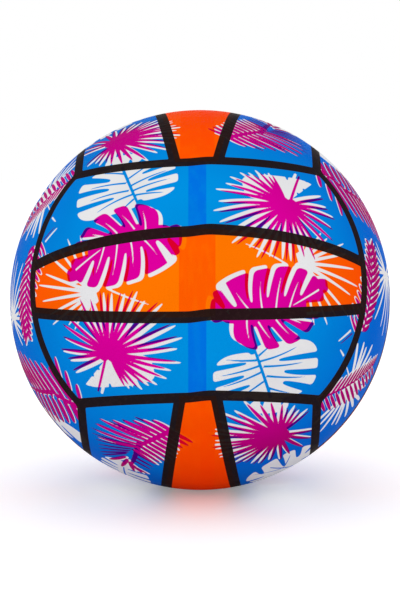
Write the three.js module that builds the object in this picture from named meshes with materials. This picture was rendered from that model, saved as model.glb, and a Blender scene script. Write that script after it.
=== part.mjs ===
// Inflatable vinyl play ball, in millimetres, +Z up.
// The origin is the ball's centre. The filling valve lies on the +Y axis, at the back of the ball.
// Every piece is round about that axis, so each one is a profile of radius and height turned about +Y.

import * as THREE from 'three';

// The ball as it measures when it is full of air
const ballDiameter = 216;
const skinWall = 1.2;

// The soft valve seat, bonded into a round hole of the skin
const seatFaceDiameter = 16;
const seatFlangeDiameter = 27;
const seatFlangeThickness = 1.4;
const seatTubeDiameter = 9.4;
const seatTubeLength = 12;
const seatBoreDiameter = 4.6;
const seatMouthChamfer = 0.5;

// The stopper that is pushed into the seat
const stopperHeadDiameter = 9;
const stopperHeadThickness = 1.6;
const stopperHeadChamfer = 0.4;
const stopperStemLength = 10;
const stopperNoseLength = 1.2;
const sealRibCount = 2;
const sealRibPitch = 3;
const sealRibLength = 1.2;
const sealRibShoulder = 0.4;

// Clearances between pieces that seat on each other
const bondGap = 0.3;
const headGap = 0.3;
const stemClearance = 0.35;
const ribClearance = 0.12;

// How finely the round shapes are cut
const ballSides = 64;
const valveSides = 32;
const stepsPerQuarter = 16;
const flangeSteps = 4;
const noseSteps = 4;

// What follows from the sizes above
const ballRadius = ballDiameter / 2;
const insideRadius = ballRadius - skinWall;
const seatFaceRadius = seatFaceDiameter / 2;
const valveHoleRadius = seatFaceRadius + bondGap;
const boreRadius = seatBoreDiameter / 2;
const headRadius = stopperHeadDiameter / 2;
const headRecessRadius = headRadius + headGap;
const stemRadius = boreRadius - stemClearance;
const ribRadius = boreRadius - ribClearance;

// The height on the +Y axis at which a sphere is as wide as the given radius
function sphereHeight(sphereRadius, radius) {
  return Math.sqrt(sphereRadius ** 2 - radius ** 2);
}

// A profile point
function at(radius, height) {
  return new THREE.Vector2(radius, height);
}

// Points of a circular arc about the origin, from one angle to another, both measured from the -Y axis
function arcAboutCentre(radius, fromAngle, toAngle, steps) {
  return Array.from({ length: steps + 1 }, (_, step) => {
    const angle = fromAngle + ((toAngle - fromAngle) * step) / steps;
    return at(radius * Math.sin(angle), -radius * Math.cos(angle));
  });
}

// The angle from the -Y axis to the edge of a round hole at the +Y end of a sphere
function holeEdgeAngle(sphereRadius, holeRadius) {
  return Math.PI - Math.asin(holeRadius / sphereRadius);
}

// Turns a profile about the +Y axis into a named piece.
// The profile runs up the outside and back down the inside, so that the faces point out.
function turned(name, profile, sides, material) {
  const mesh = new THREE.Mesh(new THREE.LatheGeometry(profile, sides), material);
  mesh.name = name;
  return mesh;
}

const printedVinyl = new THREE.MeshStandardMaterial({
  color: 0x006ed7,
  roughness: 0.35,
  metalness: 0,
});
const seatVinyl = new THREE.MeshStandardMaterial({
  color: 0xe9e6df,
  roughness: 0.5,
  metalness: 0,
});
const stopperVinyl = new THREE.MeshStandardMaterial({
  color: 0xf2efe8,
  roughness: 0.45,
  metalness: 0,
});

// The skin: one moulded hollow sphere, open only at the valve hole
function ballSkin() {
  const quarter = Math.PI / 2;
  const outerEdge = holeEdgeAngle(ballRadius, valveHoleRadius);
  const innerEdge = holeEdgeAngle(insideRadius, valveHoleRadius);
  const outside = [
    ...arcAboutCentre(ballRadius, 0, quarter, stepsPerQuarter),
    ...arcAboutCentre(ballRadius, quarter, outerEdge, stepsPerQuarter).slice(1),
  ];
  const inside = [
    ...arcAboutCentre(insideRadius, innerEdge, quarter, stepsPerQuarter),
    ...arcAboutCentre(insideRadius, quarter, 0, stepsPerQuarter).slice(1),
  ];
  return turned('ball_skin', [...outside, ...inside], ballSides, printedVinyl);
}

// The valve seat: a round face level with the edge of the hole, a flange that follows the inside
// of the skin, and a tube with the bore for the stopper
function valveSeat() {
  const faceHeight = sphereHeight(ballRadius, valveHoleRadius);
  const recessHeight = ballRadius - stopperHeadThickness - headGap;
  const flangeTopRadius = insideRadius - bondGap;
  const flangeBottomRadius = flangeTopRadius - seatFlangeThickness;
  const flangeRadius = seatFlangeDiameter / 2;
  const tubeRadius = seatTubeDiameter / 2;
  const tubeTopHeight = sphereHeight(flangeBottomRadius, tubeRadius);
  const tubeEndHeight = tubeTopHeight - seatTubeLength;
  const underFlange = arcAboutCentre(
    flangeBottomRadius,
    holeEdgeAngle(flangeBottomRadius, tubeRadius),
    holeEdgeAngle(flangeBottomRadius, flangeRadius),
    flangeSteps,
  );
  const overFlange = arcAboutCentre(
    flangeTopRadius,
    holeEdgeAngle(flangeTopRadius, flangeRadius),
    holeEdgeAngle(flangeTopRadius, seatFaceRadius),
    flangeSteps,
  );
  const profile = [
    at(boreRadius, tubeEndHeight),
    at(tubeRadius, tubeEndHeight),
    ...underFlange,
    ...overFlange,
    at(seatFaceRadius, faceHeight),
    at(headRecessRadius, faceHeight),
    at(headRecessRadius, recessHeight),
    at(boreRadius + seatMouthChamfer, recessHeight),
    at(boreRadius, recessHeight - seatMouthChamfer),
    at(boreRadius, tubeEndHeight),
  ];
  return turned('valve_seat', profile, valveSides, seatVinyl);
}

// The stopper: a flat head that ends level with the ball's surface, and a stem with sealing ribs
// and a rounded nose
function valveStopper() {
  const headBottom = ballRadius - stopperHeadThickness;
  const stemEnd = headBottom - stopperStemLength;
  const noseTop = stemEnd + stopperNoseLength;
  const nose = Array.from({ length: noseSteps + 1 }, (_, step) => {
    const angle = (step / noseSteps) * (Math.PI / 2);
    return at(stemRadius * Math.sin(angle), noseTop - stopperNoseLength * Math.cos(angle));
  });
  const ribs = Array.from({ length: sealRibCount }, (_, rib) => {
    const bottom = noseTop + sealRibLength + rib * sealRibPitch;
    return [
      at(stemRadius, bottom),
      at(ribRadius, bottom + sealRibShoulder),
      at(ribRadius, bottom + sealRibLength - sealRibShoulder),
      at(stemRadius, bottom + sealRibLength),
    ];
  }).flat();
  const profile = [
    ...nose,
    ...ribs,
    at(stemRadius, headBottom),
    at(headRadius - stopperHeadChamfer, headBottom),
    at(headRadius, headBottom + stopperHeadChamfer),
    at(headRadius, ballRadius - stopperHeadChamfer),
    at(headRadius - stopperHeadChamfer, ballRadius),
    at(0, ballRadius),
  ];
  return turned('valve_stopper', profile, valveSides, stopperVinyl);
}

const beachBall = new THREE.Group();
beachBall.add(ballSkin(), valveSeat(), valveStopper());

export default beachBall;
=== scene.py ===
"""A moulded vinyl play ball, printed as a volleyball under tropical leaves, with its push-in valve.

The ball's centre is the origin, +Z is up and the valve lies on +Y, at the back. Objects are in metres.
The print is worked out in millimetres along the ball's surface.
"""

import logging
import math
from dataclasses import dataclass
from enum import Enum

import bpy
import numpy as np
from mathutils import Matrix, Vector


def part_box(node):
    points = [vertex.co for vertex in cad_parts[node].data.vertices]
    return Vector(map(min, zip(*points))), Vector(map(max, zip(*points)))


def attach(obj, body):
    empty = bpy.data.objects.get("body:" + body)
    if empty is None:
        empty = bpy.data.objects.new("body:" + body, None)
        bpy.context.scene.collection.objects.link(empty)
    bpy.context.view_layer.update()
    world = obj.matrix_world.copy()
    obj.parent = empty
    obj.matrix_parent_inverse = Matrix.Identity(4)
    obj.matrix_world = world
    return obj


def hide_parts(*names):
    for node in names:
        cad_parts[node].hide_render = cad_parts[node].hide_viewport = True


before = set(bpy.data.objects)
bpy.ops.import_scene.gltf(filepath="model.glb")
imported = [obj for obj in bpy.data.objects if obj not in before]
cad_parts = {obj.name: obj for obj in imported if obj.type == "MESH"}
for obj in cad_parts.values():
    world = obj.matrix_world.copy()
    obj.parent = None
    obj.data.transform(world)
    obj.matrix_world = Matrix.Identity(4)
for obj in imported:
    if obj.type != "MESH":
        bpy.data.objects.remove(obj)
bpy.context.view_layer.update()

Array = np.ndarray
Point = tuple[float, float]
Colour = tuple[float, float, float]
Socket = bpy.types.NodeSocket
Value = float | Socket
Shade = Colour | Socket

log = logging.getLogger("play_ball")

MM = 0.001
SHARP_ANGLE = math.radians(35)

# The distance in mm that stands for no leaf near, and how far past its reach a leaf is still worked out
FAR_AWAY = 60.0
REACH_MARGIN = 4.0

# The ball as the frame holds it
BALL_LOW, BALL_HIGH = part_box("ball_skin")
BALL_RADIUS = (BALL_HIGH.x - BALL_LOW.x) / 2
BALL_RADIUS_MM = BALL_RADIUS / MM

# How the photograph, 400 by 600 pixels, sees the ball
PHOTO_HEIGHT = 600
BALL_RADIUS_IN_PIXELS = 190.0
CAMERA_DISTANCE_IN_RADII = 8.2
CAMERA_ELEVATION = math.radians(6.0)


class Ink(Enum):
    """What a printed leaf is made of."""

    WHITE = "bare white vinyl, left out of the blue and orange inks"
    MAGENTA = "magenta ink over a gap left in the blue and orange inks"
    OVERPRINT = "magenta ink straight over the blue and orange inks"


class Half(Enum):
    """The half of the ball that a printing pad covers, seen from the front."""

    LEFT = -1
    RIGHT = 1


def linear(colour: Colour) -> tuple[float, float, float, float]:
    """The linear colour with alpha of an sRGB colour given in 0 to 255.

    Args:
        colour: red, green and blue, 0 to 255.

    Returns:
        Red, green, blue and alpha, 0 to 1.
    """
    share = np.asarray(colour) / 255
    lit = np.where(share <= 0.04045, share / 12.92, ((share + 0.055) / 1.055) ** 2.4)
    return (*lit.tolist(), 1.0)


def direction(longitude: float, latitude: float) -> Array:
    """The unit vector (sin lon cos lat, sin lat, cos lon cos lat) in a pad's frame, from degrees."""
    lon, lat = math.radians(longitude), math.radians(latitude)
    return np.array([math.sin(lon) * math.cos(lat), math.sin(lat), math.cos(lon) * math.cos(lat)])


def polar(angle: Array, length: Array) -> Array:
    """Steps east and north of the given lengths, at the given degrees anticlockwise from east."""
    turn = np.radians(angle)
    return np.stack([np.cos(turn) * length, np.sin(turn) * length], axis=-1)


def smooth(value: Array) -> Array:
    """The smooth step 3 t^2 - 2 t^3 of a number t held between 0 and 1."""
    t = np.clip(value, 0.0, 1.0)
    return t * t * (3 - 2 * t)


def turn_about(axis: int, angle: float) -> Array:
    """The matrix that turns anticlockwise about an axis.

    Args:
        axis: 0, 1 or 2 for x, y or z.
        angle: radians.

    Returns:
        A 3 x 3 matrix.
    """
    first, second = (axis + 1) % 3, (axis + 2) % 3
    matrix = np.eye(3)
    matrix[first, first] = matrix[second, second] = math.cos(angle)
    matrix[second, first], matrix[first, second] = math.sin(angle), -math.sin(angle)
    return matrix


@dataclass(frozen=True)
class Wave:
    """A sine of a stroke's number, sin(rate n + start), that makes evenly stepped strokes uneven."""

    rate: float
    start: float

    def at(self, number: Array) -> Array:
        """Its height at each number."""
        return np.sin(self.rate * number + self.start)


ROW_TURN = Wave(2.9, 0.7)
ROW_LENGTH = Wave(5.1, 1.9)
FINGER_TURN = Wave(2.4, 1.0)
FINGER_LENGTH = Wave(3.7, 0.6)


@dataclass(frozen=True)
class Strokes:
    """Tapered strokes from roots to tips on the flat map, in mm."""

    root: Array
    tip: Array
    half_width: Array
    rise: float
    fall: float
    bend: float = 0.0

    def distance(self, east: Array, north: Array) -> Array:
        """Distance to the nearest stroke's edge, negative inside it.

        With s from 0 at the root to 1 at the tip and n the distance to the side, it is
        |n - bend s^2| - w, where w is the half width times s^rise (1 - s)^fall over that curve's top.

        Args:
            east: the points' mm east.
            north: the points' mm north.

        Returns:
            mm for each point.
        """
        way = self.tip - self.root
        length = np.hypot(way[:, 0], way[:, 1])
        way = way / length[:, None]
        from_east = east[:, None] - self.root[:, 0]
        from_north = north[:, None] - self.root[:, 1]
        along = from_east * way[:, 0] + from_north * way[:, 1]
        side = from_north * way[:, 0] - from_east * way[:, 1]
        s = np.clip(along / length, 0.0, 1.0)
        top = self.rise / (self.rise + self.fall) if self.rise > 0 else 0.0
        peak = top**self.rise * (1 - top) ** self.fall
        width = self.half_width * s**self.rise * (1 - s) ** self.fall / peak
        edge = np.abs(side - self.bend * s**2) - width
        return np.maximum(edge, np.maximum(-along, along - length)).min(axis=1)


@dataclass(frozen=True)
class Row:
    """Strokes whose roots run evenly from the first to the last, and whose angles turn evenly too.

    Pairs are the values at the first and the last stroke. Lengths swell by a half sine between them,
    and wobble by a sine of the stroke's number. Angles wobble too, by steps between the strokes.
    """

    count: int
    first: Point
    last: Point
    angle: Point
    length: Point
    half_width: Point
    bend: float = 0.0
    swell: float = 0.0
    wobble: float = 0.0
    turn_wobble: float = 2.4
    rise: float = 0.3
    fall: float = 0.4

    def strokes(self) -> Strokes:
        """Works out each stroke's root, tip and width.

        Returns:
            The row's strokes.
        """
        number = np.arange(self.count)
        t = np.linspace(0.0, 1.0, self.count)
        root = np.outer(1 - t, self.first) + np.outer(t, self.last)
        pitch = (self.angle[1] - self.angle[0]) / max(self.count - 1, 1)
        stray = self.turn_wobble * self.wobble * ROW_TURN.at(number)
        angle = self.angle[0] + pitch * (number + stray)
        length = self.length[0] + (self.length[1] - self.length[0]) * t
        length = length * (1 + self.swell * np.sin(np.pi * t)) * (1 + self.wobble * ROW_LENGTH.at(number))
        half_width = self.half_width[0] + (self.half_width[1] - self.half_width[0]) * t
        return Strokes(root, root + polar(angle, length), half_width, self.rise, self.fall, self.bend)

    def distance(self, east: Array, north: Array) -> Array:
        """Distance in mm to the row's edge, negative inside it."""
        return self.strokes().distance(east, north)


def stroke(start: Point, end: Point, half_width: float, rise: float, fall: float, bend: float) -> Row:
    """One stroke between two points.

    Args:
        start: east and north of its root, mm.
        end: east and north of its tip, mm.
        half_width: mm at its widest.
        rise: the power of the way from its root by which it widens.
        fall: the power of the way to its tip by which it thins.
        bend: mm that its end turns to the left, the stroke setting out by as much to the right.

    Returns:
        A row of one stroke.
    """
    east, north = end[0] - start[0], end[1] - start[1]
    length = math.hypot(east, north)
    angle = math.degrees(math.atan2(north, east) - math.atan2(bend, length))
    return Row(1, start, start, (angle, angle), (length, length), (half_width, half_width), bend,
               rise=rise, fall=fall)


def line(start: Point, end: Point, half_width: float, fall: float = 0.3, bend: float = 0.0) -> Row:
    """A stroke that is widest at its start and thins to its end."""
    return stroke(start, end, half_width, 0.0, fall, bend)


def slit(tip: Point, mouth: Point, half_width: float, bend: float = 0.0) -> Row:
    """A slit in a leaf, widening from its rounded tip to its mouth as the distance to the power 0.3."""
    return stroke(tip, mouth, half_width, 0.3, 0.0, bend)


@dataclass(frozen=True)
class Blob:
    """A rounded outline, |x/a|^p + |y/b|^p = 1 about a centre and turned by a tilt."""

    centre: Point
    half_size: Point
    tilt: float = 0.0
    power: float = 2.3

    def distance(self, east: Array, north: Array) -> Array:
        """Distance to the outline along the ray from its centre, negative inside.

        Args:
            east: the points' mm east.
            north: the points' mm north.

        Returns:
            mm for each point.
        """
        turn = math.radians(self.tilt)
        x, y = east - self.centre[0], north - self.centre[1]
        along = x * math.cos(turn) + y * math.sin(turn)
        across = y * math.cos(turn) - x * math.sin(turn)
        along, across = np.abs(along / self.half_size[0]), np.abs(across / self.half_size[1])
        share = (along**self.power + across**self.power) ** (1 / self.power)
        return (share - 1) * np.hypot(x, y) / np.maximum(share, 1e-6)


@dataclass(frozen=True)
class Leaf:
    """A printed leaf, placed by longitude and latitude on its pad, with its own flat map in mm.

    Its slip is how far east and north its magenta lies from where the pad's drift would put it.
    """

    longitude: float
    latitude: float
    ink: Ink
    reach: float = 46.0
    slip: Point = (0.0, 0.0)

    def shape(self, east: Array, north: Array) -> Array:
        """Distance in mm to the leaf's outline, negative inside."""
        raise NotImplementedError

    def veins(self, east: Array, north: Array) -> Array:
        """Distance in mm to the lines left out of the leaf; a leaf without them is far from any."""
        return np.full(len(east), FAR_AWAY)

    def distance(self, points: Array, shift: Point, spread: float, veined: bool) -> Array:
        """Distance to the leaf from points on the ball, negative inside it.

        The flat map keeps each point at its true distance and bearing from the leaf's place.

        Args:
            points: unit vectors in the pad's frame.
            shift: mm east and north by which the leaf is printed off its place.
            spread: mm by which its outline is grown.
            veined: whether its veins are left out of it, and it slips, as its own ink does.

        Returns:
            mm for each point.
        """
        out = direction(self.longitude, self.latitude)
        turn = math.radians(self.longitude)
        east_way = np.array([math.cos(turn), 0.0, -math.sin(turn)])
        cosine = points @ out
        near = cosine > math.cos((self.reach + REACH_MARGIN) / BALL_RADIUS_MM)
        found = np.full(len(points), FAR_AWAY)
        if not near.any():
            return found
        arc = np.arccos(np.clip(cosine[near], -1.0, 1.0))
        stretch = BALL_RADIUS_MM * arc / np.maximum(np.sin(arc), 1e-6)
        if veined:
            shift = (shift[0] + self.slip[0], shift[1] + self.slip[1])
        east = stretch * (points[near] @ east_way) - shift[0]
        north = stretch * (points[near] @ np.cross(out, east_way)) - shift[1]
        found[near] = self.shape(east, north) - spread
        if veined:
            found[near] = np.maximum(found[near], -self.veins(east, north))
        return found


@dataclass(frozen=True)
class SplitLeaf(Leaf):
    """A monstera leaf: rounded outlines, less the slits between the lobes, with a rib and veins.

    The lobes' corners are rounded by about its rounding, in mm.
    """

    blobs: tuple[Blob, ...] = ()
    slits: tuple[Row, ...] = ()
    lines: tuple[Row, ...] = ()
    rounding: float = 1.6

    def shape(self, east: Array, north: Array) -> Array:
        """The outlines' union, cut by the slits with a smooth maximum of the two distances.

        Args:
            east: the points' mm east.
            north: the points' mm north.

        Returns:
            mm for each point.
        """
        found = np.minimum.reduce([blob.distance(east, north) for blob in self.blobs])
        for cut in self.slits:
            outside = -cut.distance(east, north)
            share = np.clip(0.5 + 0.5 * (outside - found) / self.rounding, 0.0, 1.0)
            found = found * (1 - share) + outside * share + self.rounding * share * (1 - share)
        return found

    def veins(self, east: Array, north: Array) -> Array:
        """Distance in mm to the rib and the veins, in the lines' order."""
        found = [row.distance(east, north) for row in self.lines]
        return np.minimum.reduce(found) if found else super().veins(east, north)


@dataclass(frozen=True)
class FanLeaf(Leaf):
    """A fan palm: pointed fingers round a hub, of length mean + east cos t + north sin t + oval cos 2t.

    The fingers' angles run from the first to the last. Crowding widens the steps towards the last, and
    gathering narrows them halfway. Each strays by up to a share of a step, and starts at a share of its
    length. The core is how much of the leaf is filled, by a round pad on each finger and one on the hub,
    and the pads' place and size, and the hub's size, are shares of it.
    """

    hub: Point = (0.0, 0.0)
    first: float = 0.0
    last: float = 270.0
    count: int = 20
    mean: float = 28.0
    longer_east: float = 0.0
    longer_north: float = 0.0
    oval: float = 0.0
    core: float = 0.3
    half_width: float = 1.2
    rise: float = 0.35
    fall: float = 0.55
    wobble: float = 0.06
    crowding: float = 0.0
    gathering: float = 0.0
    stray: float = 0.12
    finger_start: float = 0.1
    pad_place: float = 0.55
    pad_size: float = 0.5
    hub_size: float = 0.3

    def shape(self, east: Array, north: Array) -> Array:
        """The nearest finger's edge, or the edge of one of the round pads that fill the hub.

        Args:
            east: the points' mm east.
            north: the points' mm north.

        Returns:
            mm for each point.
        """
        number = np.arange(self.count)
        run = number / max(self.count - 1, 1)
        run = run * (1 + self.crowding * run) / (1 + self.crowding)
        run = run + self.gathering * np.sin(2 * np.pi * run) / (2 * np.pi)
        pitch = (self.last - self.first) / max(self.count - 1, 1)
        angle = self.first + (self.last - self.first) * run + self.stray * pitch * FINGER_TURN.at(number)
        turn = np.radians(angle)
        length = self.mean + self.longer_east * np.cos(turn) + self.longer_north * np.sin(turn)
        length = (length + self.oval * np.cos(2 * turn)) * (1 + self.wobble * FINGER_LENGTH.at(number))
        hub = np.array(self.hub)
        fingers = Strokes(hub + polar(angle, self.finger_start * length), hub + polar(angle, length),
                          np.full(self.count, self.half_width), self.rise, self.fall)
        pads = hub + polar(angle, self.pad_place * self.core * length)
        to_pad = np.hypot(east[:, None] - pads[:, 0], north[:, None] - pads[:, 1])
        to_pad = (to_pad - self.pad_size * self.core * length).min(axis=1)
        to_hub = np.hypot(east - hub[0], north - hub[1]) - self.hub_size * self.core * self.mean
        return np.minimum.reduce([fingers.distance(east, north), to_pad, to_hub])


@dataclass(frozen=True)
class Frond(Leaf):
    """A feather palm or a few loose twigs: rows of narrow blades."""

    rows: tuple[Row, ...] = ()

    def shape(self, east: Array, north: Array) -> Array:
        """The nearest blade's edge."""
        return np.minimum.reduce([row.distance(east, north) for row in self.rows])


def leaf_print() -> tuple[Leaf, ...]:
    """The leaves of one pad, each drawn on its own flat map in mm.

    Returns:
        The leaves in no special order.
    """
    white, magenta, overprint = Ink.WHITE, Ink.MAGENTA, Ink.OVERPRINT
    return (
        # White split leaf under the upper band
        SplitLeaf(-20, 27, white,
            blobs=(Blob((-14, -0.5), (22, 16), 8, 3.2), Blob((6.5, 3), (15.5, 12.5), 12, 2.6)),
            slits=(slit((-16, 6), (-37, 12), 2.5, -1.2), slit((-15.5, -0.2), (-39, 1), 2.1, 1.0),
                slit((-11.5, -6.4), (-38, -8.6), 1.9, -2.0), slit((2, 8), (18, 16), 1.7),
                slit((6, 3), (24, 11), 1.9), slit((6, -4), (25, 1.5), 1.6, 1.0),
                slit((3, -9), (9, -24), 4.0)),
            lines=(line((-11, 15), (4, -14), 0.85, 0.1), line((-5, 5.5), (4, 13.5), 0.62),
                line((-2.5, 0.5), (16, 10), 0.62, 0.4, -1.2), line((-1, -3), (18, 4), 0.62, 0.4, -1.2),
                line((0.5, -6), (17, -5), 0.62, 0.4, -1.0), line((-6, 2.4), (-29, 3.5), 0.62, 0.4, 1.0),
                line((-3.5, -2.8), (-27, -5), 0.62, 0.4, 1.2), line((-1, -5.5), (-21, -13.5), 0.62, 0.4, 2.5),
                line((0, -8.5), (-4.5, -13), 0.62), line((-8, 9), (-22, 12.5), 0.62, 0.4, 1.0))),
        # Magenta split leaf across the orange strip
        SplitLeaf(-19, 8, magenta, 52,
            blobs=(Blob((-4, 0), (32, 19), 13, 2.4), Blob((-6, 3), (24, 19), 15, 2.6),
                Blob((-29.5, -10.8), (8.6, 4.0), 9, 4.0)),
            slits=(line((-46, -1.6), (-24.5, 1.0), 3.2, 0.0), line((15, 19), (45, 19.8), 8.8, 0.0),
                line((12, 27), (24, 12), 4.0, 0.0),
                slit((4.1, 11.2), (-2, 24), 1.9, 1.5),
                slit((-4.7, 11.2), (-14.5, 21.5), 1.8, 1.5), slit((-11.7, 8), (-26, 15.5), 1.8, 1.5),
                slit((-17, 6.2), (-33, 7), 0.9), slit((-20.5, -6), (-27.5, -19), 1.7, -1.5),
                slit((-11.2, -5), (-18, -22), 1.5, -3.0), slit((-1.8, -4), (-6, -22), 1.35, -3.5),
                slit((6.5, -1), (6.5, -18.5), 1.35, -5.0), slit((18.3, 4), (26.3, -7), 2.5, -1.0)),
            lines=(line((-32, -9.5), (-16, -0.5), 0.5), line((-14.2, 1), (-19, -12.8), 0.45, 0.4, -1.8),
                line((-6.7, 2), (-9, -14.8), 0.45, 0.4, -2.2), line((0.8, 2), (2.3, -11.8), 0.45, 0.4, -2.2),
                line((6.8, 3.5), (15, -5.8), 0.45, 0.4, -1.6), line((17.5, 5.5), (23.5, 0.5), 0.4),
                line((8.5, 8), (6.2, 18.2), 0.45, 0.4, 2.0), line((2.5, 8.5), (-5.2, 17.2), 0.45, 0.4, 1.2),
                line((-7, 7), (-15.2, 14.2), 0.45, 0.4, 1.2), line((-15, 6.2), (-22, 8.4), 0.4),
                slit((14.6, 1.5), (23.6, -11.5), 2.1, -1.0)),
            rounding=2.4),
        Frond(-19, 8, overprint, 40,
            rows=(Row(1, (18.5, 3.5), (18.5, 3.5), (-52, -52), (12, 12), (2.6, 2.6), fall=0.3),)),
        # Magenta fan under the strip, on a bitten white leaf
        FanLeaf(-29, -20, magenta, 50, hub=(2.8, -1.8), first=-78, last=198, count=27, mean=29,
            longer_east=3.5, longer_north=6.9, oval=4.5, core=0.22, half_width=1.0, crowding=0.2,
            wobble=0.05),
        Frond(-29, -20, magenta, 40, rows=(line((0, -5), (-10.2, -22.8), 0.8, 0.1, -1.2),)),
        SplitLeaf(-29, -20, white, 40,
            blobs=(Blob((1, -11), (22.5, 8.3), 0, 4.0),),
            slits=(line((-31, -16.5), (-8, 1.3), 8.0, 0.0), slit((-11.8, -13), (-15, -8.5), 1.2),
                slit((-7, -9.5), (-10, -6), 1.0), slit((-3.2, -17.2), (-3.8, -21), 1.0),
                slit((-16, -18.3), (-16.5, -21), 1.4), slit((14, -15.5), (17, -21), 2.5)), rounding=0.8),
        # White fan behind both
        FanLeaf(-31, -3, white, 54, hub=(0.5, -1), first=62, last=290, count=20, mean=22, longer_east=-13,
            longer_north=10, oval=4, core=0.2, half_width=0.95, rise=0.0, fall=0.3, wobble=0.08),
        Frond(-29, -20, white, 48, rows=(line((4.5, 32.5), (27, 22), 0.5, 0.2, 1.2),)),
        # Fronds beside the strip
        Frond(-60, -2, magenta, 46, slip=(1.2, -0.75),
            rows=(Row(13, (3.6, 27), (-5, -19), (196, 214), (6, 8), (1.4, 1.4), 1.5, 1.1, 0.04),
                Row(12, (4.3, 26), (-4, -18), (-43, -68), (17, 6), (1.35, 1.45), 1.0, 0.1, 0.04),
                line((4.5, 28), (-5.5, -23), 0.9), line((10, 29), (18.5, 20.5), 1.2, 0.3, -2.0),
                line((10, 26), (15, 20.5), 1.0, 0.3, -1.0))),
        FanLeaf(-75, -6, white, 60, hub=(0, 0), first=-60, last=205, count=17, mean=26, longer_north=8,
            core=0.09, half_width=0.85, rise=0.1, fall=0.3),
        Frond(-62, -32, magenta, 58, slip=(1.6, -0.95),
            rows=(Row(9, (17.5, -4), (-26, 8), (98, 124), (21, 24), (2.15, 2.1), 2.5, 0.25, 0.05),
                Row(8, (16, -4), (-22, 7), (-94, -118), (12, 20), (2.3, 2.1), -3.0, 0.25, 0.06),
                line((20, -8), (4, 3.5), 1.8, 0.2, -1.5), line((6, 3.2), (-34, 7), 1.4, 0.2, -1.0),
                Row(3, (18.5, 8), (25, -5), (78, 66), (14, 10), (1.4, 1.4)))),
        SplitLeaf(-62, -32, white, 50,
            blobs=(Blob((-17, -19), (21, 8), -28, 2.5),),
            slits=(slit((-17, -18), (-13, -32), 2.2), slit((-26, -13), (-27, -28), 2.0)), rounding=1.0),
        Frond(-58, 32, magenta, 48, slip=(1.3, -0.8),
            rows=(Row(13, (16.5, 4.5), (-26, -17), (146, 152), (12, 12), (1.05, 1.05), 0.5, 0.35, 0.04),
                Row(14, (16, 4), (-27, -17.5), (-104, -112), (10, 8), (1.05, 1.05), -0.5, 0.3, 0.04),
                line((18.5, 5), (-29, -20), 0.8))),
        FanLeaf(-58, 32, white, 48, hub=(-5, -4), first=62, last=196, count=10, mean=27,
            core=0.3, half_width=1.15, fall=0.3, wobble=0.08),
        FanLeaf(-58, 32, white, 48, hub=(-5, -4), first=222, last=286, count=6, mean=26,
            core=0.2, half_width=1.15, fall=0.3, wobble=0.08),
        Frond(-58, 32, white, 50,
            rows=(line((0, -11), (8, -17), 0.5), line((12, -21), (17, -24), 0.6))),
        Frond(-58, 32, magenta, 50, rows=(line((12, -35), (20, -28), 0.45),)),
        # Leaves towards the pole
        FanLeaf(-38, 47, magenta, 50, hub=(2.6, -0.6), first=-127, last=186, count=29, mean=27,
            longer_east=4, longer_north=4, oval=5, core=0.24, half_width=1.1, gathering=0.4),
        SplitLeaf(-38, 47, white, 40,
            blobs=(Blob((15.5, -17), (11, 4.5), 12, 2.6),),
            slits=(slit((20, -15.5), (22, -24), 1.6), slit((10, -17.5), (8, -24), 1.2)), rounding=0.8),
        SplitLeaf(-60, 58, white, 50,
            blobs=(Blob((-10, 8), (22, 22), 0, 2.2),),
            slits=(slit((1, 16.5), (14, 12), 2.2), slit((-7, 6.5), (12, -2.5), 1.8, 0.5),
                slit((-8, -3), (7, -14), 2.6),
                slit((-12, -6), (-9, -20), 2.0), slit((-6, 20), (-2, 30), 1.8),
                Row(4, (-20, 17), (-21, -6), (150, 215), (16, 14), (1.9, 1.7), fall=0.0)),
            lines=(line((-29, 9), (5, 9), 0.7, 0.2), line((-9, 10), (9, 19.5), 0.45),
                line((-9, 8), (3, -4.5), 0.45)),
            rounding=2.2),
        # Leaves towards the other pole
        Frond(-42, -55, magenta, 56, slip=(1.0, -0.6),
            rows=(Row(6, (38, 9), (22, 7.5), (108, 132), (12, 28), (1.4, 1.3), 2.0, 0.0, 0.05, fall=0.5),
                Row(3, (19, 6.5), (13, 4.5), (138, 152), (28, 26), (1.2, 1.0), 2.0, 0.0, 0.05, fall=0.5),
                Row(5, (-1, -2), (-4, -12), (192, 288), (17, 10), (1.35, 1.25), 0.0, 0.0, 0.05, fall=0.5),
                Row(10, (37, 10), (8, 4), (-60, -68), (14, 18), (1.4, 1.35), -1.5, 0.0, 0.08, fall=0.5),
                line((38, 9.5), (14, 5.5), 1.6, 0.1, 1.5))),
        Frond(-42, -55, overprint, 56,
            rows=(Row(7, (16, 6), (3, 0), (144, 182), (28, 22), (0.75, 0.75), 2.5, 0.0, 0.05, fall=0.5),
                Row(4, (33, 14), (17, 9), (119, 137), (13, 24), (0.8, 0.8), 2.0, fall=0.5),
                Row(4, (11, 4), (2, -5), (-62, -66), (16, 13), (1.1, 1.0), -1.0, fall=0.5),
                line((17, 7), (-3, -11), 1.6, 0.2, -1.5))),
        SplitLeaf(-74, -65, white, 50,
            blobs=(Blob((0, 0), (24, 15), 20, 2.5),),
            slits=(Row(5, (-13, -1), (12, 8), (135, 100), (16, 14), (1.9, 1.7), rise=0.4, fall=0.0),
                Row(4, (-8, -4), (14, 3), (-105, -60), (15, 14), (1.9, 1.7), rise=0.4, fall=0.0)),
            lines=(line((-26, -9), (22, 8), 0.7),)),
    )


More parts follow.
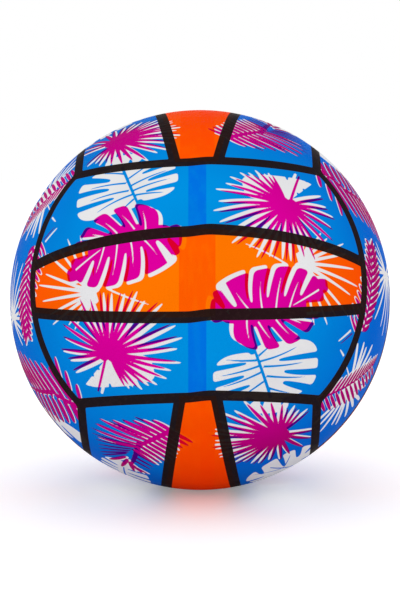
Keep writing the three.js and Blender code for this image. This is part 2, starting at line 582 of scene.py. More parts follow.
@dataclass(frozen=True)
class Panels:
    """A volleyball's eighteen panels: six faces of three strips, parted by bands.

    In the pad's frame, a face's outer bands lie where one coordinate is a set height, in mm from the
    centre. The bands beside its middle strip lie on planes through the centre, at an angle in degrees.
    """

    front_height: float = 61.3
    side_height: float = 59.7
    top_height: float = 64.8
    front_angle: float = 11.71
    top_angle: float = 11.35
    side_angle: float = 6.3
    band_width: float = 6.0

    def distances(self, points: Array) -> tuple[Array, Array]:
        """Distances to the black bands and to the orange strips, negative inside them.

        Args:
            points: unit vectors in the pad's frame.

        Returns:
            mm to the bands' edge, and mm to the strips' edge.
        """
        x, y, z = np.abs(points.T)
        heights = (self.front_height, self.side_height, self.top_height)
        front, side, top = (height / BALL_RADIUS_MM for height in heights)

        def level(value: Array, height: float, beside: Array, end: float) -> Array:
            """Distance to the arc at a height that ends where another coordinate passes its end."""
            return np.hypot(np.arcsin(np.clip(value, 0, 1)) - math.asin(height), np.maximum(0, beside - end))

        on_front = (y < front) & (z > side)
        on_top = (x < top) & (y > front)
        slopes = [math.tan(math.radians(a)) for a in (self.front_angle, self.top_angle, self.side_angle)]
        rises = [y - slopes[0] * z, x - slopes[1] * y, z - slopes[2] * x]
        inner = [rise / math.hypot(1, slope) for rise, slope in zip(rises, slopes)]
        strip = np.select([on_front, on_top], inner[:2], inner[2])
        outer = [level(y, front, x, top), level(z, side, y, front), level(x, top, z, side)]
        bands = np.minimum.reduce([*outer, np.abs(strip)])
        return bands * BALL_RADIUS_MM - self.band_width / 2, strip * BALL_RADIUS_MM


@dataclass(frozen=True)
class Pad:
    """A printing pad: how it was turned when it met the ball, and how far past the middle it printed.

    The two pads carry the same print. The right one is turned half round about its own middle, and the
    back of each pad repeats its front, turned half round about the east-west line. Its drift is how far
    east and north its magenta lies off the gaps left for it, which are grown by the gap spread. Its
    colours are plain in the middle, up to a height on the unit sphere, and deepen over a drop in height
    towards the ball's outline seen from the front, by its gain: denser ink there, and painted shade at
    the ball's edge.
    """

    half: Half
    pitch: float
    yaw: float
    roll: float
    blue_reach: float
    orange_reach: float
    deepening_gain: float = 1.0
    drift: Point = (-2.0, 1.2)
    gap_spread: float = 0.2
    plain_height: float = 0.92
    deepening_drop: float = 0.67

    def own_frame(self, points: Array) -> Array:
        """Unit vectors of the ball turned into the pad's frame: east, north and out of its middle.

        Args:
            points: unit vectors in the ball's frame.

        Returns:
            Unit vectors in the pad's frame.
        """
        turned = points @ turn_about(0, math.pi / 2 - CAMERA_ELEVATION)
        for axis, angle in ((2, self.roll), (1, self.yaw), (0, self.pitch)):
            turned = turned @ turn_about(axis, math.radians(angle))
        return turned * (-1, -1, 1) if self.half is Half.RIGHT else turned

    def nearest(self, points: Array, leaves: tuple[Leaf, ...], ink: Ink, shift: Point = (0.0, 0.0),
                spread: float = 0.0, veined: bool = True) -> Array:
        """Distance to the nearest leaf of an ink, on the pad's front or back.

        Args:
            points: unit vectors in the pad's frame.
            leaves: the print's leaves.
            ink: which leaves to look at.
            shift: mm east and north by which they are printed off.
            spread: mm by which they are grown.
            veined: whether their veins are left out of them.

        Returns:
            mm for each point, negative inside a leaf.
        """
        found = np.full(len(points), FAR_AWAY)
        for leaf in leaves:
            if leaf.ink is ink:
                found = np.minimum(found, leaf.distance(points, shift, spread, veined))
                found = np.minimum(found, leaf.distance(points * (1, -1, -1), shift, spread, veined))
        return found

    def layers(self, ball_points: Array, leaves: tuple[Leaf, ...], panels: Panels) -> dict[str, Array]:
        """Distances to the edges of what this pad prints, negative inside, and how deep its colours get, from
        denser ink and painted shade.

        Args:
            ball_points: unit vectors in the ball's frame.
            leaves: the print's leaves.
            panels: the print's panels.

        Returns:
            One array a layer, by name.
        """
        points = self.own_frame(ball_points)
        past_middle = -self.half.value * ball_points[:, 0] * BALL_RADIUS_MM
        bands, strips = panels.distances(points)
        past_edge = past_middle - np.where(strips < 0, self.orange_reach, self.blue_reach)
        bare = self.nearest(points, leaves, Ink.WHITE)
        gap = self.nearest(points, leaves, Ink.MAGENTA, spread=self.gap_spread, veined=False)
        magenta = np.minimum(self.nearest(points, leaves, Ink.MAGENTA, shift=self.drift),
                             self.nearest(points, leaves, Ink.OVERPRINT, shift=self.drift))
        # Colours deepen towards the ball's outline seen from the front: denser ink there, and painted shade
        # at the ball's edge.
        ink_and_shade_depth = (self.plain_height - np.abs(points[:, 2])) / self.deepening_drop * self.deepening_gain
        return {
            "ink": np.maximum(-np.minimum(bare, gap), past_edge),
            "orange": np.maximum(strips, past_middle - self.orange_reach),
            "magenta": np.maximum(magenta, past_edge),
            "bands": bands,
            "ink_and_shade_depth": np.clip(ink_and_shade_depth, 0.0, 1.0),
        }


@dataclass(frozen=True)
class BallPrint:
    """The whole print: two pads that meet in an overlap down the ball's front and back.

    The black bands of the two join smoothly over the band joint's width.
    """

    leaves: tuple[Leaf, ...]
    panels: Panels = Panels()
    band_joint: float = 14.0
    left: Pad = Pad(Half.LEFT, -7.16, 0.66, 1.20, blue_reach=3.2, orange_reach=7.8)
    # The right pad's colours deepen more: denser ink, and painted shade on the ball's right.
    right: Pad = Pad(Half.RIGHT, -7.83, -2.38, -0.26, blue_reach=6.0, orange_reach=10.6, deepening_gain=1.35)

    def layers(self, points: Array) -> dict[str, Array]:
        """The layers that the finish reads, as distances in mm, negative where there is ink.

        Args:
            points: unit vectors in the ball's frame.

        Returns:
            One array a layer: any ink, both inks, orange, magenta, bands, and the deepening of colour from
                denser ink and painted edge shade.
        """
        left = self.left.layers(points, self.leaves, self.panels)
        right = self.right.layers(points, self.leaves, self.panels)
        share = smooth(0.5 + points[:, 0] * BALL_RADIUS_MM / self.band_joint)
        return {
            "print_ink": np.minimum(left["ink"], right["ink"]),
            "print_twice": np.maximum(left["ink"], right["ink"]),
            "print_orange": np.minimum(left["orange"], right["orange"]),
            "print_magenta": np.minimum(left["magenta"], right["magenta"]),
            "print_bands": left["bands"] * (1 - share) + right["bands"] * share,
            "print_ink_and_shade_depth": np.where(points[:, 0] < 0, left["ink_and_shade_depth"], right["ink_and_shade_depth"]),
        }


@dataclass(frozen=True)
class Grain:
    """Noise with a grain size in metres and octaves of detail, drawn out along the axes by a stretch.

    Its values from low to high turn smoothly into the numbers from at_low to at_high.
    """

    size: float
    detail: float
    low: float = 0.3
    high: float = 0.7
    at_low: float = 0.0
    at_high: float = 1.0
    stretch: tuple[float, float, float] = (1.0, 1.0, 1.0)


class Finish:
    """A material made node by node, ending in one Principled shader."""

    def __init__(self, name: str, roughness: float, specular: float, gloss: Grain | None = None) -> None:
        """Starts the material with its shader.

        Args:
            name: the material's name.
            roughness: the shader's roughness.
            specular: the shader's specular level.
            gloss: noise that is added to the roughness.
        """
        self.material = bpy.data.materials.new(name)
        self.material.use_nodes = True
        self.tree = self.material.node_tree
        self.shader = self.tree.nodes["Principled BSDF"]
        self.shader.inputs["Roughness"].default_value = roughness
        self.shader.inputs["Specular IOR Level"].default_value = specular
        if gloss:
            uneven = self.ramp(self.noise(gloss), gloss.low, gloss.high,
                               roughness + gloss.at_low, roughness + gloss.at_high)
            self.put(self.shader.inputs["Roughness"], uneven)

    def add(self, kind: str, **settings: object) -> bpy.types.Node:
        """A new node.

        Args:
            kind: the node's type, without its ShaderNode prefix.
            settings: the node's own settings.

        Returns:
            The node.
        """
        node = self.tree.nodes.new("ShaderNode" + kind)
        for name, value in settings.items():
            setattr(node, name, value)
        return node

    def put(self, socket: Socket, value: Value | Shade) -> None:
        """Links a socket to another node's output, or sets it to a constant.

        Args:
            socket: the input.
            value: an output socket, a number, or a colour of 0 to 255.
        """
        if isinstance(value, Socket):
            self.tree.links.new(value, socket)
        else:
            socket.default_value = linear(value) if isinstance(value, tuple) else value

    def calculate(self, operation: str, *values: Value) -> Socket:
        """A sum worked out by a node.

        Args:
            operation: the Math node's operation.
            values: the numbers it works on.

        Returns:
            The result.
        """
        node = self.add("Math", operation=operation)
        for socket, value in zip(node.inputs, values):
            self.put(socket, value)
        return node.outputs[0]

    def mix(self, share: Value, first: Shade, second: Shade, blend: str = "MIX") -> Socket:
        """A mix of two colours. A Mix node's colours are its inputs 6 and 7 and its output 2.

        Args:
            share: how much of the second.
            first: a colour or an output.
            second: a colour or an output.
            blend: the way they are mixed.

        Returns:
            The mixed colour.
        """
        node = self.add("Mix", data_type="RGBA", blend_type=blend)
        for number, value in ((0, share), (6, first), (7, second)):
            self.put(node.inputs[number], value)
        return node.outputs[2]

    def ramp(self, value: Value, low: float, high: float, at_low: float, at_high: float) -> Socket:
        """A number that goes smoothly from one value to another.

        Args:
            value: the number that leads.
            low: where the change starts.
            high: where it ends.
            at_low: the result up to low.
            at_high: the result from high on.

        Returns:
            The result.
        """
        node = self.add("MapRange", interpolation_type="SMOOTHSTEP")
        self.put(node.inputs["Value"], value)
        for name, number in (("From Min", low), ("From Max", high), ("To Min", at_low), ("To Max", at_high)):
            node.inputs[name].default_value = number
        return node.outputs["Result"]

    def layer(self, name: str, softness: float) -> Socket:
        """A printed layer's cover, from its distance in mm: 1 inside, 0 outside, with a soft edge."""
        node = self.add("Attribute", attribute_name=name)
        return self.ramp(node.outputs["Fac"], -softness / 2, softness / 2, 1.0, 0.0)

    def noise(self, grain: Grain) -> Socket:
        """Noise on Object coordinates.

        Args:
            grain: its size, detail and stretch.

        Returns:
            A number about 0.5.
        """
        mapping = self.add("Mapping")
        self.put(mapping.inputs["Vector"], self.add("TexCoord").outputs["Object"])
        mapping.inputs["Scale"].default_value = [1 / (grain.size * stretch) for stretch in grain.stretch]
        node = self.add("TexNoise")
        self.put(node.inputs["Vector"], mapping.outputs["Vector"])
        node.inputs["Scale"].default_value = 1.0
        node.inputs["Detail"].default_value = grain.detail
        return node.outputs["Fac"]

    def speckle(self, grain: Grain) -> Socket:
        """Noise turned into the grain's own numbers."""
        return self.ramp(self.noise(grain), grain.low, grain.high, grain.at_low, grain.at_high)

    def dimple(self, grain: Grain, height: float, strength: float) -> None:
        """Gives the shader's normal a bump of noise.

        Args:
            grain: the noise.
            height: metres for a noise of 1.
            strength: the bump's strength.
        """
        node = self.add("Bump")
        node.inputs["Strength"].default_value = strength
        node.inputs["Distance"].default_value = height
        self.put(node.inputs["Height"], self.noise(grain))
        self.put(self.shader.inputs["Normal"], node.outputs["Normal"])


@dataclass(frozen=True)
class PrintedVinyl:
    """White vinyl under translucent blue and orange inks, magenta leaves and opaque black bands.

    The deep colours, far from a pad's middle towards the ball's outline seen from the front, stand for
    denser ink and for painted shade at the ball's edge, and the double ones are those where both pads
    printed. Edges fade over mm. The magenta's body is how much of its own colour it keeps over another
    ink, and the black's thinness how much of what is under a band shows through.
    """

    vinyl: Colour = (229, 229, 231)
    blue: Colour = (0, 144, 224)
    # The deep colours stand for denser ink and for painted shade towards the ball's outline seen from the
    # front.
    deep_blue: Colour = (0, 100, 206)
    double_blue: Colour = (0, 114, 225)
    deep_double_blue: Colour = (0, 92, 208)
    orange: Colour = (255, 118, 0)
    deep_orange: Colour = (252, 68, 0)
    double_orange: Colour = (255, 92, 0)
    deep_double_orange: Colour = (254, 66, 0)
    magenta: Colour = (220, 0, 156)
    deep_magenta: Colour = (168, 0, 106)
    magenta_on_ink: Colour = (200, 0, 110)
    magenta_body: float = 0.13
    black: Colour = (32, 22, 20)
    worn_black: Colour = (42, 31, 28)
    black_thinness: float = 0.008
    dirt: Colour = (0, 0, 0)
    edge: float = 0.22
    double_edge: float = 0.5
    roughness: float = 0.38
    specular: float = 0.002
    gloss: Grain = Grain(0.006, 3.0, at_low=-0.04, at_high=0.05)
    streaks: Grain = Grain(0.004, 3.0, 0.3, 0.6, 0.75, 1.0, (1, 1, 9))
    scuffs: Grain = Grain(0.0022, 4.0, 0.45, 0.75, 0.0, 0.6)
    tone: Grain = Grain(0.03, 2.0, at_high=0.05)
    dimples: Grain = Grain(0.0011, 2.0)
    dimple_height: float = 0.00004
    dimple_strength: float = 0.35

    def material(self) -> bpy.types.Material:
        """The finish's material.

        Each layer covers the ones under it where its distance is negative. Magenta lets the ink
        under it through as a filter, so it is red on orange and violet on blue.

        Returns:
            The material.
        """
        finish = Finish("printed_vinyl", self.roughness, self.specular, self.gloss)
        # How deep the colours get towards the ball's outline seen from the front: denser ink, and painted
        # shade at the edge.
        ink_and_shade_depth = finish.add("Attribute", attribute_name="print_ink_and_shade_depth").outputs["Fac"]
        deeper = finish.calculate("SQRT", ink_and_shade_depth)
        twice = finish.layer("print_twice", self.double_edge)
        twice = finish.calculate("MULTIPLY", twice, finish.speckle(self.streaks))
        blue = finish.mix(twice, finish.mix(ink_and_shade_depth, self.blue, self.deep_blue),
                          finish.mix(ink_and_shade_depth, self.double_blue, self.deep_double_blue))
        orange = finish.mix(twice, finish.mix(deeper, self.orange, self.deep_orange),
                            finish.mix(deeper, self.double_orange, self.deep_double_orange))
        ink = finish.mix(finish.layer("print_orange", self.edge), blue, orange)
        inked = finish.layer("print_ink", self.edge)
        colour = finish.mix(inked, self.vinyl, ink)
        filtered = finish.mix(1.0, ink, self.magenta, "MULTIPLY")
        over_ink = finish.mix(self.magenta_body, filtered, self.magenta_on_ink)
        magenta = finish.mix(inked, finish.mix(ink_and_shade_depth, self.magenta, self.deep_magenta), over_ink)
        colour = finish.mix(finish.layer("print_magenta", self.edge), colour, magenta)
        black = finish.mix(finish.speckle(self.scuffs), self.black, self.worn_black)
        black = finish.mix(self.black_thinness, black, colour)
        colour = finish.mix(finish.layer("print_bands", self.edge), colour, black)
        colour = finish.mix(finish.speckle(self.tone), colour, self.dirt)
        finish.put(finish.shader.inputs["Base Color"], colour)
        finish.dimple(self.dimples, self.dimple_height, self.dimple_strength)
        return finish.material


@dataclass(frozen=True)
class SoftVinyl:
    """Plain moulded vinyl with a satin face and faint flow marks."""

    name: str
    colour: Colour
    shade: Colour
    roughness: float
    specular: float = 0.3
    gloss: Grain = Grain(0.0015, 2.0, at_low=-0.05, at_high=0.06)
    flow: Grain = Grain(0.004, 3.0, low=0.35, stretch=(1, 3, 1))
    dimples: Grain = Grain(0.0004, 2.0)
    dimple_height: float = 0.00003
    dimple_strength: float = 0.4

    def material(self) -> bpy.types.Material:
        """The finish's material.

        Returns:
            The material.
        """
        finish = Finish(self.name, self.roughness, self.specular, self.gloss)
        colour = finish.mix(finish.speckle(self.flow), self.colour, self.shade)
        finish.put(finish.shader.inputs["Base Color"], colour)
        finish.dimple(self.dimples, self.dimple_height, self.dimple_strength)
        return finish.material


def mesh_piece(name: str, points: Array, faces: list[Array]) -> bpy.types.Object:
    """A mesh object at the origin, smooth but for its sharp edges.

    Args:
        name: the piece's name.
        points: the vertices, in metres.
        faces: arrays of vertex numbers, one row a face, each array with faces of one size.

    Returns:
        The object, linked to the scene.
    """
    mesh = bpy.data.meshes.new(name)
    sizes = np.concatenate([np.full(len(rows), rows.shape[1]) for rows in faces])
    corners = np.concatenate([rows.ravel() for rows in faces])
    mesh.vertices.add(len(points))
    mesh.vertices.foreach_set("co", np.ascontiguousarray(points, np.float32).ravel())
    mesh.loops.add(len(corners))
    mesh.loops.foreach_set("vertex_index", corners.astype(np.int32))
    mesh.polygons.add(len(sizes))
    mesh.polygons.foreach_set("loop_start", (np.cumsum(sizes) - sizes).astype(np.int32))
    mesh.update(calc_edges=True)
    mesh.validate()
    mesh.polygons.foreach_set("use_smooth", np.ones(len(mesh.polygons), bool))
    mesh.set_sharp_from_angle(angle=SHARP_ANGLE)
    piece = bpy.data.objects.new(name, mesh)
    bpy.context.scene.collection.objects.link(piece)
    return piece


def round_faces(rows: Array) -> Array:
    """The squares between each ring of vertex numbers and the next.

    Args:
        rows: one row a ring.

    Returns:
        Rows of four vertex numbers.
    """
    here, beyond = rows[:-1], rows[1:]
    faces = [here, beyond, np.roll(beyond, -1, axis=1), np.roll(here, -1, axis=1)]
    return np.stack(faces, axis=-1).reshape(-1, 4)


def cap_faces(ring: Array, middle: int) -> Array:
    """The triangles from a ring of vertex numbers to one vertex in its middle."""
    return np.stack([ring, np.roll(ring, -1), np.full(len(ring), middle)], axis=-1)


def add_layer(piece: bpy.types.Object, name: str, values: Array) -> None:
    """Gives a piece a number at each vertex, as an attribute with a name."""
    attribute = piece.data.attributes.new(name, "FLOAT", "POINT")
    attribute.data.foreach_set("value", values.astype(np.float32))


@dataclass(frozen=True)
class SkinPatch:
    """One of six square patches of the skin, as a cube's face blown up to the ball.

    With a and b from -45 to 45 degrees across the patch, its outside is the unit vector of
    out + right tan a + up tan b, times the ball's radius. The inner wall is the same, coarser, and the
    four edges join the two, so that the patch is a closed shell. Where it has a hole, one square in
    every hole_share of a side lies between its middle and the hole's edge. The grid is round there, and
    turns square again by round_to, in degrees from the middle.
    """

    name: str
    out: tuple[int, int, int]
    right: tuple[int, int, int]
    steps: int
    wall: float
    wall_steps: int = 60
    hole: float = 0.0
    hole_share: int = 15
    round_to: float = 24.0

    def grid(self, steps: int, radius: float) -> Array:
        """The patch's points on a sphere, with a round hole in the middle of the valve's patch.

        Near the hole, the squares round the patch's middle turn into circles: a point at the square
        distance d moves from its place to the circle of that size, and back by a smooth step. There
        the point is out cos r + (right cos t + up sin t) sin r, r being its arc and t its bearing.

        Args:
            steps: squares along a side.
            radius: the sphere's radius, in metres.

        Returns:
            (steps + 1) x (steps + 1) x 3 coordinates.
        """
        angle = np.linspace(-math.pi / 4, math.pi / 4, steps + 1)
        a, b = np.meshgrid(angle, angle, indexing="ij")
        squareness = np.ones_like(a)
        if self.hole > 0:
            square, circle = np.maximum(np.abs(a), np.abs(b)), np.hypot(a, b)
            ring = square / np.maximum(circle, 1e-9)
            inner = self.hole_steps(steps) * math.pi / 2 / steps
            squareness = smooth((square - inner) / (math.radians(self.round_to) - inner))
            wanted = math.asin(self.hole / radius)
            size = np.where(circle > 0, 1 + (wanted / inner - 1) * (1 - squareness), 1.0)
            a, b = (v * (ring + (1 - ring) * squareness) * size for v in (a, b))
        out, right = np.array(self.out, float), np.array(self.right, float)
        up = np.cross(out, right)
        arc, bearing = np.hypot(a, b)[..., None], np.arctan2(b, a)[..., None]
        around = out * np.cos(arc) + (right * np.cos(bearing) + up * np.sin(bearing)) * np.sin(arc)
        points = out + right * np.tan(a)[..., None] + up * np.tan(b)[..., None]
        points /= np.linalg.norm(points, axis=-1, keepdims=True)
        share = squareness[..., None]
        points = around * (1 - share) + points * share
        return points / np.linalg.norm(points, axis=-1, keepdims=True) * radius

    def hole_steps(self, steps: int) -> int:
        """How many squares lie between the patch's middle and the hole's edge."""
        return steps // self.hole_share

    def squares(self, numbers: Array, steps: int) -> Array:
        """The grid's faces, without those in the hole.

        Args:
            numbers: the grid's vertex numbers.
            steps: squares along a side.

        Returns:
            Rows of four vertex numbers, anticlockwise seen from outside.
        """
        rows = np.stack([numbers[:-1, :-1], numbers[1:, :-1], numbers[1:, 1:], numbers[:-1, 1:]], axis=-1)
        if self.hole <= 0:
            return rows.reshape(-1, 4)
        middle = np.abs(np.arange(steps) + 0.5 - steps / 2)
        kept = np.maximum(middle[:, None], middle[None, :]) > self.hole_steps(steps)
        return rows[kept]

    def rims(self, numbers: Array, steps: int) -> list[Array]:
        """Runs of vertex numbers round the patch's edge, and round its hole.

        Args:
            numbers: the grid's vertex numbers.
            steps: squares along a side.

        Returns:
            The four sides, anticlockwise, and then the hole's four, clockwise.
        """
        def sides(block: Array) -> list[Array]:
            """The four sides of a square block of numbers, anticlockwise."""
            return [block[:, 0], block[-1, :], block[::-1, -1], block[0, ::-1]]

        found = sides(numbers)
        if self.hole > 0:
            low, high = steps // 2 - self.hole_steps(steps), steps // 2 + self.hole_steps(steps)
            found += [side[::-1] for side in sides(numbers[low:high + 1, low:high + 1])][::-1]
        return found

    def build(self, radius: float) -> bpy.types.Object:
        """Makes the patch.

        Args:
            radius: the ball's radius, in metres.

        Returns:
            The piece.
        """
        share = self.steps // self.wall_steps
        outside = self.grid(self.steps, radius)
        inside = self.grid(self.steps, radius - self.wall)[::share, ::share]
        outer = np.arange((self.steps + 1) ** 2).reshape(self.steps + 1, -1)
        inner = outer.size + np.arange((self.wall_steps + 1) ** 2).reshape(self.wall_steps + 1, -1)
        faces = [self.squares(outer, self.steps), self.squares(inner, self.wall_steps)[:, ::-1]]
        for rim, wall_rim in zip(self.rims(outer, self.steps), self.rims(inner, self.wall_steps)):
            runs = [rim[k::share][:(len(rim) - 1) // share] for k in range(share)]
            faces.append(np.stack([*runs, rim[share::share], wall_rim[1:], wall_rim[:-1]], axis=-1)[:, ::-1])
        points = np.concatenate([outside.reshape(-1, 3), inside.reshape(-1, 3)])
        used = np.zeros(len(points), bool)
        for rows in faces:
            used[rows.ravel()] = True
        renumber = np.cumsum(used) - 1
        return mesh_piece(self.name, points[used], [renumber[rows] for rows in faces])


@dataclass(frozen=True)
class BallSkin:
    """The moulded skin, drawn as six patches so that the print is fine enough everywhere."""

    radius: float = BALL_RADIUS
    wall: float = 1.2 * MM
    valve_hole_radius: float = 8.3 * MM
    steps: int = 300
    quick_steps: int = 120
    finish: PrintedVinyl = PrintedVinyl()

    def patches(self) -> list[SkinPatch]:
        """Names the six patches and turns each its own way.

        Returns:
            The patches. The one at the back has the valve's hole.
        """
        steps = self.steps
        return [
            SkinPatch("skin_front", (0, -1, 0), (1, 0, 0), steps, self.wall),
            SkinPatch("skin_back", (0, 1, 0), (-1, 0, 0), steps, self.wall, hole=self.valve_hole_radius),
            SkinPatch("skin_right", (1, 0, 0), (0, 1, 0), steps, self.wall),
            SkinPatch("skin_left", (-1, 0, 0), (0, -1, 0), steps, self.wall),
            SkinPatch("skin_top", (0, 0, 1), (1, 0, 0), steps, self.wall),
            SkinPatch("skin_bottom", (0, 0, -1), (1, 0, 0), steps, self.wall),
        ]

    def build(self) -> list[bpy.types.Object]:
        """Makes the patches, prints them and puts them on the ball's body.

        Returns:
            The pieces.
        """
        material = self.finish.material()
        printed = BallPrint(leaf_print())
        pieces = []
        for patch in self.patches():
            piece = patch.build(self.radius)
            flat = np.zeros(len(piece.data.vertices) * 3, np.float32)
            piece.data.vertices.foreach_get("co", flat)
            points = flat.reshape(-1, 3).astype(float)
            points /= np.linalg.norm(points, axis=1, keepdims=True)
            for name, values in printed.layers(points).items():
                add_layer(piece, name, values)
            piece.data.materials.append(material)
            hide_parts("ball_skin")
            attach(piece, "ball")
            log.info("%s: %d vertices", piece.name, len(points))
            pieces.append(piece)
        return pieces


@dataclass(frozen=True)
class Corner:
    """A corner of a turned profile, in mm: its radius and height, and how much it is rounded."""

    radius: float
    height: float
    rounding: float = 0.0


def rounded(corners: list[Corner], steps: int = 6, closed: bool = True) -> Array:
    """A profile whose corners are arcs that touch both its sides.

    Args:
        corners: the corners in order.
        steps: pieces in each arc.
        closed: whether the last corner joins the first.

    Returns:
        Rows of radius and height, mm.
    """
    found = []
    for number, corner in enumerate(corners):
        here = np.array([corner.radius, corner.height])
        ends = not closed and number in (0, len(corners) - 1)
        if corner.rounding <= 0 or ends:
            found.append(here[None])
            continue
        before, after = corners[number - 1], corners[(number + 1) % len(corners)]
        back = np.array([before.radius, before.height]) - here
        on = np.array([after.radius, after.height]) - here
        back, on = back / np.hypot(*back), on / np.hypot(*on)
        half = math.acos(float(np.clip(back @ on, -1, 1))) / 2
        centre = here + (back + on) / np.hypot(*(back + on)) * corner.rounding / math.sin(half)
        first = here + back * corner.rounding / math.tan(half) - centre
        last = here + on * corner.rounding / math.tan(half) - centre
        sweep = math.atan2(first[0] * last[1] - first[1] * last[0], first @ last)
        turn = np.linspace(0, sweep, steps + 1)
        arc = np.stack([first[0] * np.cos(turn) - first[1] * np.sin(turn),
                        first[0] * np.sin(turn) + first[1] * np.cos(turn)], axis=-1)
        found.append(centre + arc)
    return np.concatenate(found)


def turned(name: str, profile: Array, sides: int, closed: bool) -> bpy.types.Object:
    """A profile turned about the +Y axis: (r cos t, h, r sin t) for t once round.

    Args:
        name: the piece's name.
        profile: rows of radius and height in mm, up the outside and down the inside. An open profile
            starts and ends on the axis.
        sides: steps round the axis.
        closed: whether the profile's end joins its start.

    Returns:
        The piece.
    """
    turn = np.linspace(0, 2 * math.pi, sides, endpoint=False)
    body = profile if closed else profile[1:-1]
    radius, height = body[:, 0, None], np.repeat(body[:, 1, None], sides, axis=1)
    points = np.stack([radius * np.cos(turn), height, radius * np.sin(turn)], axis=-1).reshape(-1, 3)
    rings = np.arange(len(points)).reshape(-1, sides)
    faces = [round_faces(np.concatenate([rings, rings[:1]]) if closed else rings)]
    if not closed:
        faces.append(cap_faces(rings[0], len(points)))
        faces.append(cap_faces(rings[-1], len(points) + 1)[:, ::-1])
        poles = [[0.0, profile[0, 1], 0.0], [0.0, profile[-1, 1], 0.0]]
        points = np.concatenate([points, poles])
    return mesh_piece(name, points * MM, faces)


@dataclass(frozen=True)
class Valve:
    """The soft seat bonded in the skin, and the stopper pushed into it. Sizes are in mm."""

    skin_wall: float = 1.2
    bond_gap: float = 0.3
    face_diameter: float = 16.0
    flange_diameter: float = 27.0
    flange_thickness: float = 1.4
    tube_diameter: float = 9.4
    tube_length: float = 12.0
    bore_diameter: float = 4.6
    mouth_chamfer: float = 0.5
    head_diameter: float = 9.0
    head_thickness: float = 1.6
    head_gap: float = 0.3
    stem_length: float = 10.0
    stem_clearance: float = 0.35
    nose_length: float = 1.2
    nose_steps: int = 12
    rib_count: int = 2
    rib_pitch: float = 3.0
    rib_length: float = 1.2
    rib_slope: float = 0.4
    rib_clearance: float = 0.12
    sides: int = 96
    seat_finish: SoftVinyl = SoftVinyl("seat_vinyl", (233, 231, 225), (222, 219, 211), 0.5)
    stopper_finish: SoftVinyl = SoftVinyl("stopper_vinyl", (241, 239, 233), (230, 227, 219), 0.45)

    def sphere_height(self, sphere_radius: float, radius: float) -> float:
        """The height on the axis at which a sphere is as wide as a radius, mm."""
        return math.sqrt(sphere_radius**2 - radius**2)

    def under_skin(self, sphere_radius: float, start: float, end: float) -> list[Corner]:
        """Five corners along a sphere about the ball's centre, between two radii about the axis, mm."""
        return [Corner(r, self.sphere_height(sphere_radius, r)) for r in np.linspace(start, end, 5)]

    def seat(self) -> bpy.types.Object:
        """The seat: its face, a flange inside the skin, and a tube with the stopper's bore.

        Returns:
            The piece.
        """
        face_radius = self.face_diameter / 2
        face = self.sphere_height(BALL_RADIUS_MM, face_radius + self.bond_gap)
        recess = BALL_RADIUS_MM - self.head_thickness - self.head_gap
        recess_radius = self.head_diameter / 2 + self.head_gap
        bore = self.bore_diameter / 2
        flange_top = BALL_RADIUS_MM - self.skin_wall - self.bond_gap
        flange_bottom = flange_top - self.flange_thickness
        tube = self.tube_diameter / 2
        tube_end = self.sphere_height(flange_bottom, tube) - self.tube_length
        corners = [
            Corner(bore, tube_end, 0.3),
            Corner(tube, tube_end, 0.5),
            *self.under_skin(flange_bottom, tube, self.flange_diameter / 2),
            *self.under_skin(flange_top, self.flange_diameter / 2, face_radius),
            Corner(face_radius, face, 0.25),
            Corner(recess_radius, face, 0.15),
            Corner(recess_radius, recess, 0.2),
            Corner(bore + self.mouth_chamfer, recess, 0.15),
            Corner(bore, recess - self.mouth_chamfer, 0.15),
        ]
        return turned("valve_seat_soft", rounded(corners), self.sides, closed=True)

    def stopper(self) -> bpy.types.Object:
        """The stopper: a flat head with a rounded rim, and a stem with sealing ribs and a round nose.

        Returns:
            The piece.
        """
        bottom = BALL_RADIUS_MM - self.head_thickness
        nose_top = bottom - self.stem_length + self.nose_length
        stem = self.bore_diameter / 2 - self.stem_clearance
        rib = self.bore_diameter / 2 - self.rib_clearance
        head = self.head_diameter / 2
        turn = np.linspace(0, math.pi / 2, self.nose_steps)[:-1]
        nose = np.stack([stem * np.sin(turn), nose_top - self.nose_length * np.cos(turn)], axis=-1)
        corners = [Corner(stem, nose_top)]
        for number in range(self.rib_count):
            start = nose_top + self.rib_length + number * self.rib_pitch
            end = start + self.rib_length
            corners += [Corner(stem, start, 0.1), Corner(rib, start + self.rib_slope, 0.15),
                        Corner(rib, end - self.rib_slope, 0.15), Corner(stem, end, 0.1)]
        corners += [Corner(stem, bottom, 0.3), Corner(head, bottom, 0.4),
                    Corner(head, BALL_RADIUS_MM, 0.4), Corner(0.0, BALL_RADIUS_MM)]
        profile = np.concatenate([nose, rounded(corners, closed=False)])
        return turned("valve_stopper_soft", profile, self.sides, closed=False)

    def build(self) -> list[bpy.types.Object]:
        """Makes the seat and the stopper, dresses them and puts them on their bodies.

        Returns:
            The pieces.
        """
        made = []
        for piece, finish, node, body in ((self.seat(), self.seat_finish, "valve_seat", "ball"),
                                          (self.stopper(), self.stopper_finish, "valve_stopper", "stopper")):
            piece.data.materials.append(finish.material())
            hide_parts(node)
            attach(piece, body)
            log.info("%s: %d vertices", piece.name, len(piece.data.vertices))
            made.append(piece)
        return made


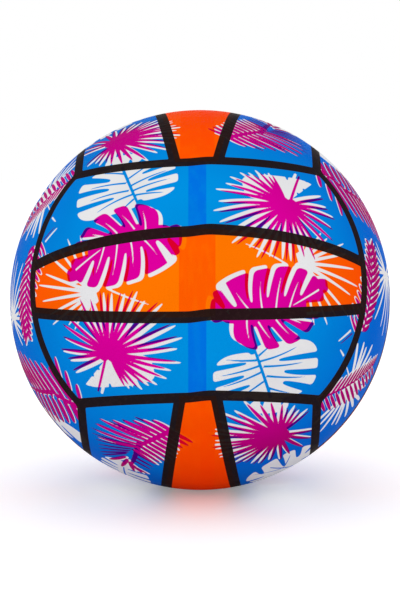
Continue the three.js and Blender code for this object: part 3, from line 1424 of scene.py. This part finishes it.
@dataclass(frozen=True)
class Studio:
    """The camera at the photograph's angle, a pale floor, and even, soft light.

    Lengths are in metres, but the sensor's is in mm. The lamp's tilt and turn are in degrees. The
    floor's tone is how pale it is, and its glow lifts it to white in the camera's eyes only.
    """

    sensor: float = 36.0
    sky: float = 0.97
    key_power: float = 3.6
    key_size: float = 1.6
    key_place: tuple[float, float, float] = (-0.35, -2.2, 0.55)
    key_tilt: float = 76.0
    key_turn: float = -9.0
    floor_radius: float = 6.0
    floor_middle: float = 0.05
    floor_rings: int = 24
    floor_sides: int = 64
    floor_roughness: float = 0.9
    floor_tone: float = 0.97
    floor_glow: float = 0.22

    def camera(self) -> None:
        """Makes the camera, so far away and so long that the ball fills the photograph's circle."""
        distance = CAMERA_DISTANCE_IN_RADII * BALL_RADIUS
        focal_pixels = BALL_RADIUS_IN_PIXELS * math.sqrt(CAMERA_DISTANCE_IN_RADII**2 - 1)
        data = bpy.data.cameras.new("camera")
        data.sensor_width = self.sensor
        data.lens = focal_pixels / PHOTO_HEIGHT * self.sensor
        data.clip_end = 100.0
        camera = bpy.data.objects.new("camera", data)
        camera.location = (0.0, -distance * math.cos(CAMERA_ELEVATION), distance * math.sin(CAMERA_ELEVATION))
        camera.rotation_euler = (math.pi / 2 - CAMERA_ELEVATION, 0.0, 0.0)
        bpy.context.scene.collection.objects.link(camera)
        bpy.context.scene.camera = camera

    def background_share(self, tree: bpy.types.NodeTree) -> bpy.types.NodeSocket:
        """1 for rays that should see the white background: camera, glossy and transmission rays.

        Args:
            tree: the world's nodes.

        Returns:
            The share.
        """
        path = tree.nodes.new("ShaderNodeLightPath")
        share = path.outputs["Is Camera Ray"]
        for name in ("Is Glossy Ray", "Is Transmission Ray"):
            most = tree.nodes.new("ShaderNodeMath")
            most.operation = "MAXIMUM"
            tree.links.new(share, most.inputs[0])
            tree.links.new(path.outputs[name], most.inputs[1])
            share = most.outputs[0]
        return share

    def world(self) -> None:
        """Lights the ball evenly from all round, and shows white behind it."""
        world = bpy.data.worlds.new("studio")
        world.use_nodes = True
        tree = world.node_tree
        background = tree.nodes["Background"]
        background.inputs["Color"].default_value = (1.0, 1.0, 1.0, 1.0)
        strength = tree.nodes.new("ShaderNodeMapRange")
        tree.links.new(self.background_share(tree), strength.inputs["Value"])
        strength.inputs["To Min"].default_value = self.sky
        strength.inputs["To Max"].default_value = 1.0
        tree.links.new(strength.outputs["Result"], background.inputs["Strength"])
        bpy.context.scene.world = world

    def key_light(self) -> None:
        """One large soft lamp in front of the ball, a little above it."""
        data = bpy.data.lights.new("key", "AREA")
        data.shape = "DISK"
        data.size = self.key_size
        data.energy = self.key_power
        lamp = bpy.data.objects.new("key", data)
        lamp.location = self.key_place
        lamp.rotation_euler = (math.radians(self.key_tilt), 0.0, math.radians(self.key_turn))
        lamp.visible_glossy = False
        bpy.context.scene.collection.objects.link(lamp)

    def floor(self) -> None:
        """A round pale floor under the ball, white to the camera where no shadow falls."""
        radius = np.geomspace(self.floor_middle, self.floor_radius, self.floor_rings)[:, None]
        turn = np.linspace(0, 2 * math.pi, self.floor_sides, endpoint=False)
        height = np.full((self.floor_rings, self.floor_sides), BALL_LOW.z)
        points = np.stack([radius * np.cos(turn), radius * np.sin(turn), height], axis=-1).reshape(-1, 3)
        rings = np.arange(len(points)).reshape(-1, self.floor_sides)
        faces = [round_faces(rings), cap_faces(rings[0], len(points))]
        floor = mesh_piece("floor", np.concatenate([points, [[0.0, 0.0, BALL_LOW.z]]]), faces)
        finish = Finish("floor", self.floor_roughness, 0.0)
        seen = finish.add("LightPath").outputs["Is Camera Ray"]
        for name, value in (("Base Color", finish.ramp(seen, 0.0, 1.0, self.floor_tone, 1.0)),
                            ("Emission Color", (255, 255, 255)),
                            ("Emission Strength", finish.ramp(seen, 0.0, 1.0, 0.0, self.floor_glow))):
            finish.put(finish.shader.inputs[name], value)
        floor.data.materials.append(finish.material)

    def build(self) -> None:
        """Makes the stage and sets the plain view transform."""
        self.camera()
        self.world()
        self.key_light()
        self.floor()
        bpy.context.scene.view_settings.view_transform = "Standard"


def main() -> None:
    """Builds the stage and the pieces."""
    logging.basicConfig(level=logging.INFO, format="%(message)s")
    Studio().build()
    BallSkin().build()
    Valve().build()


if __name__ == "__main__":
    main()
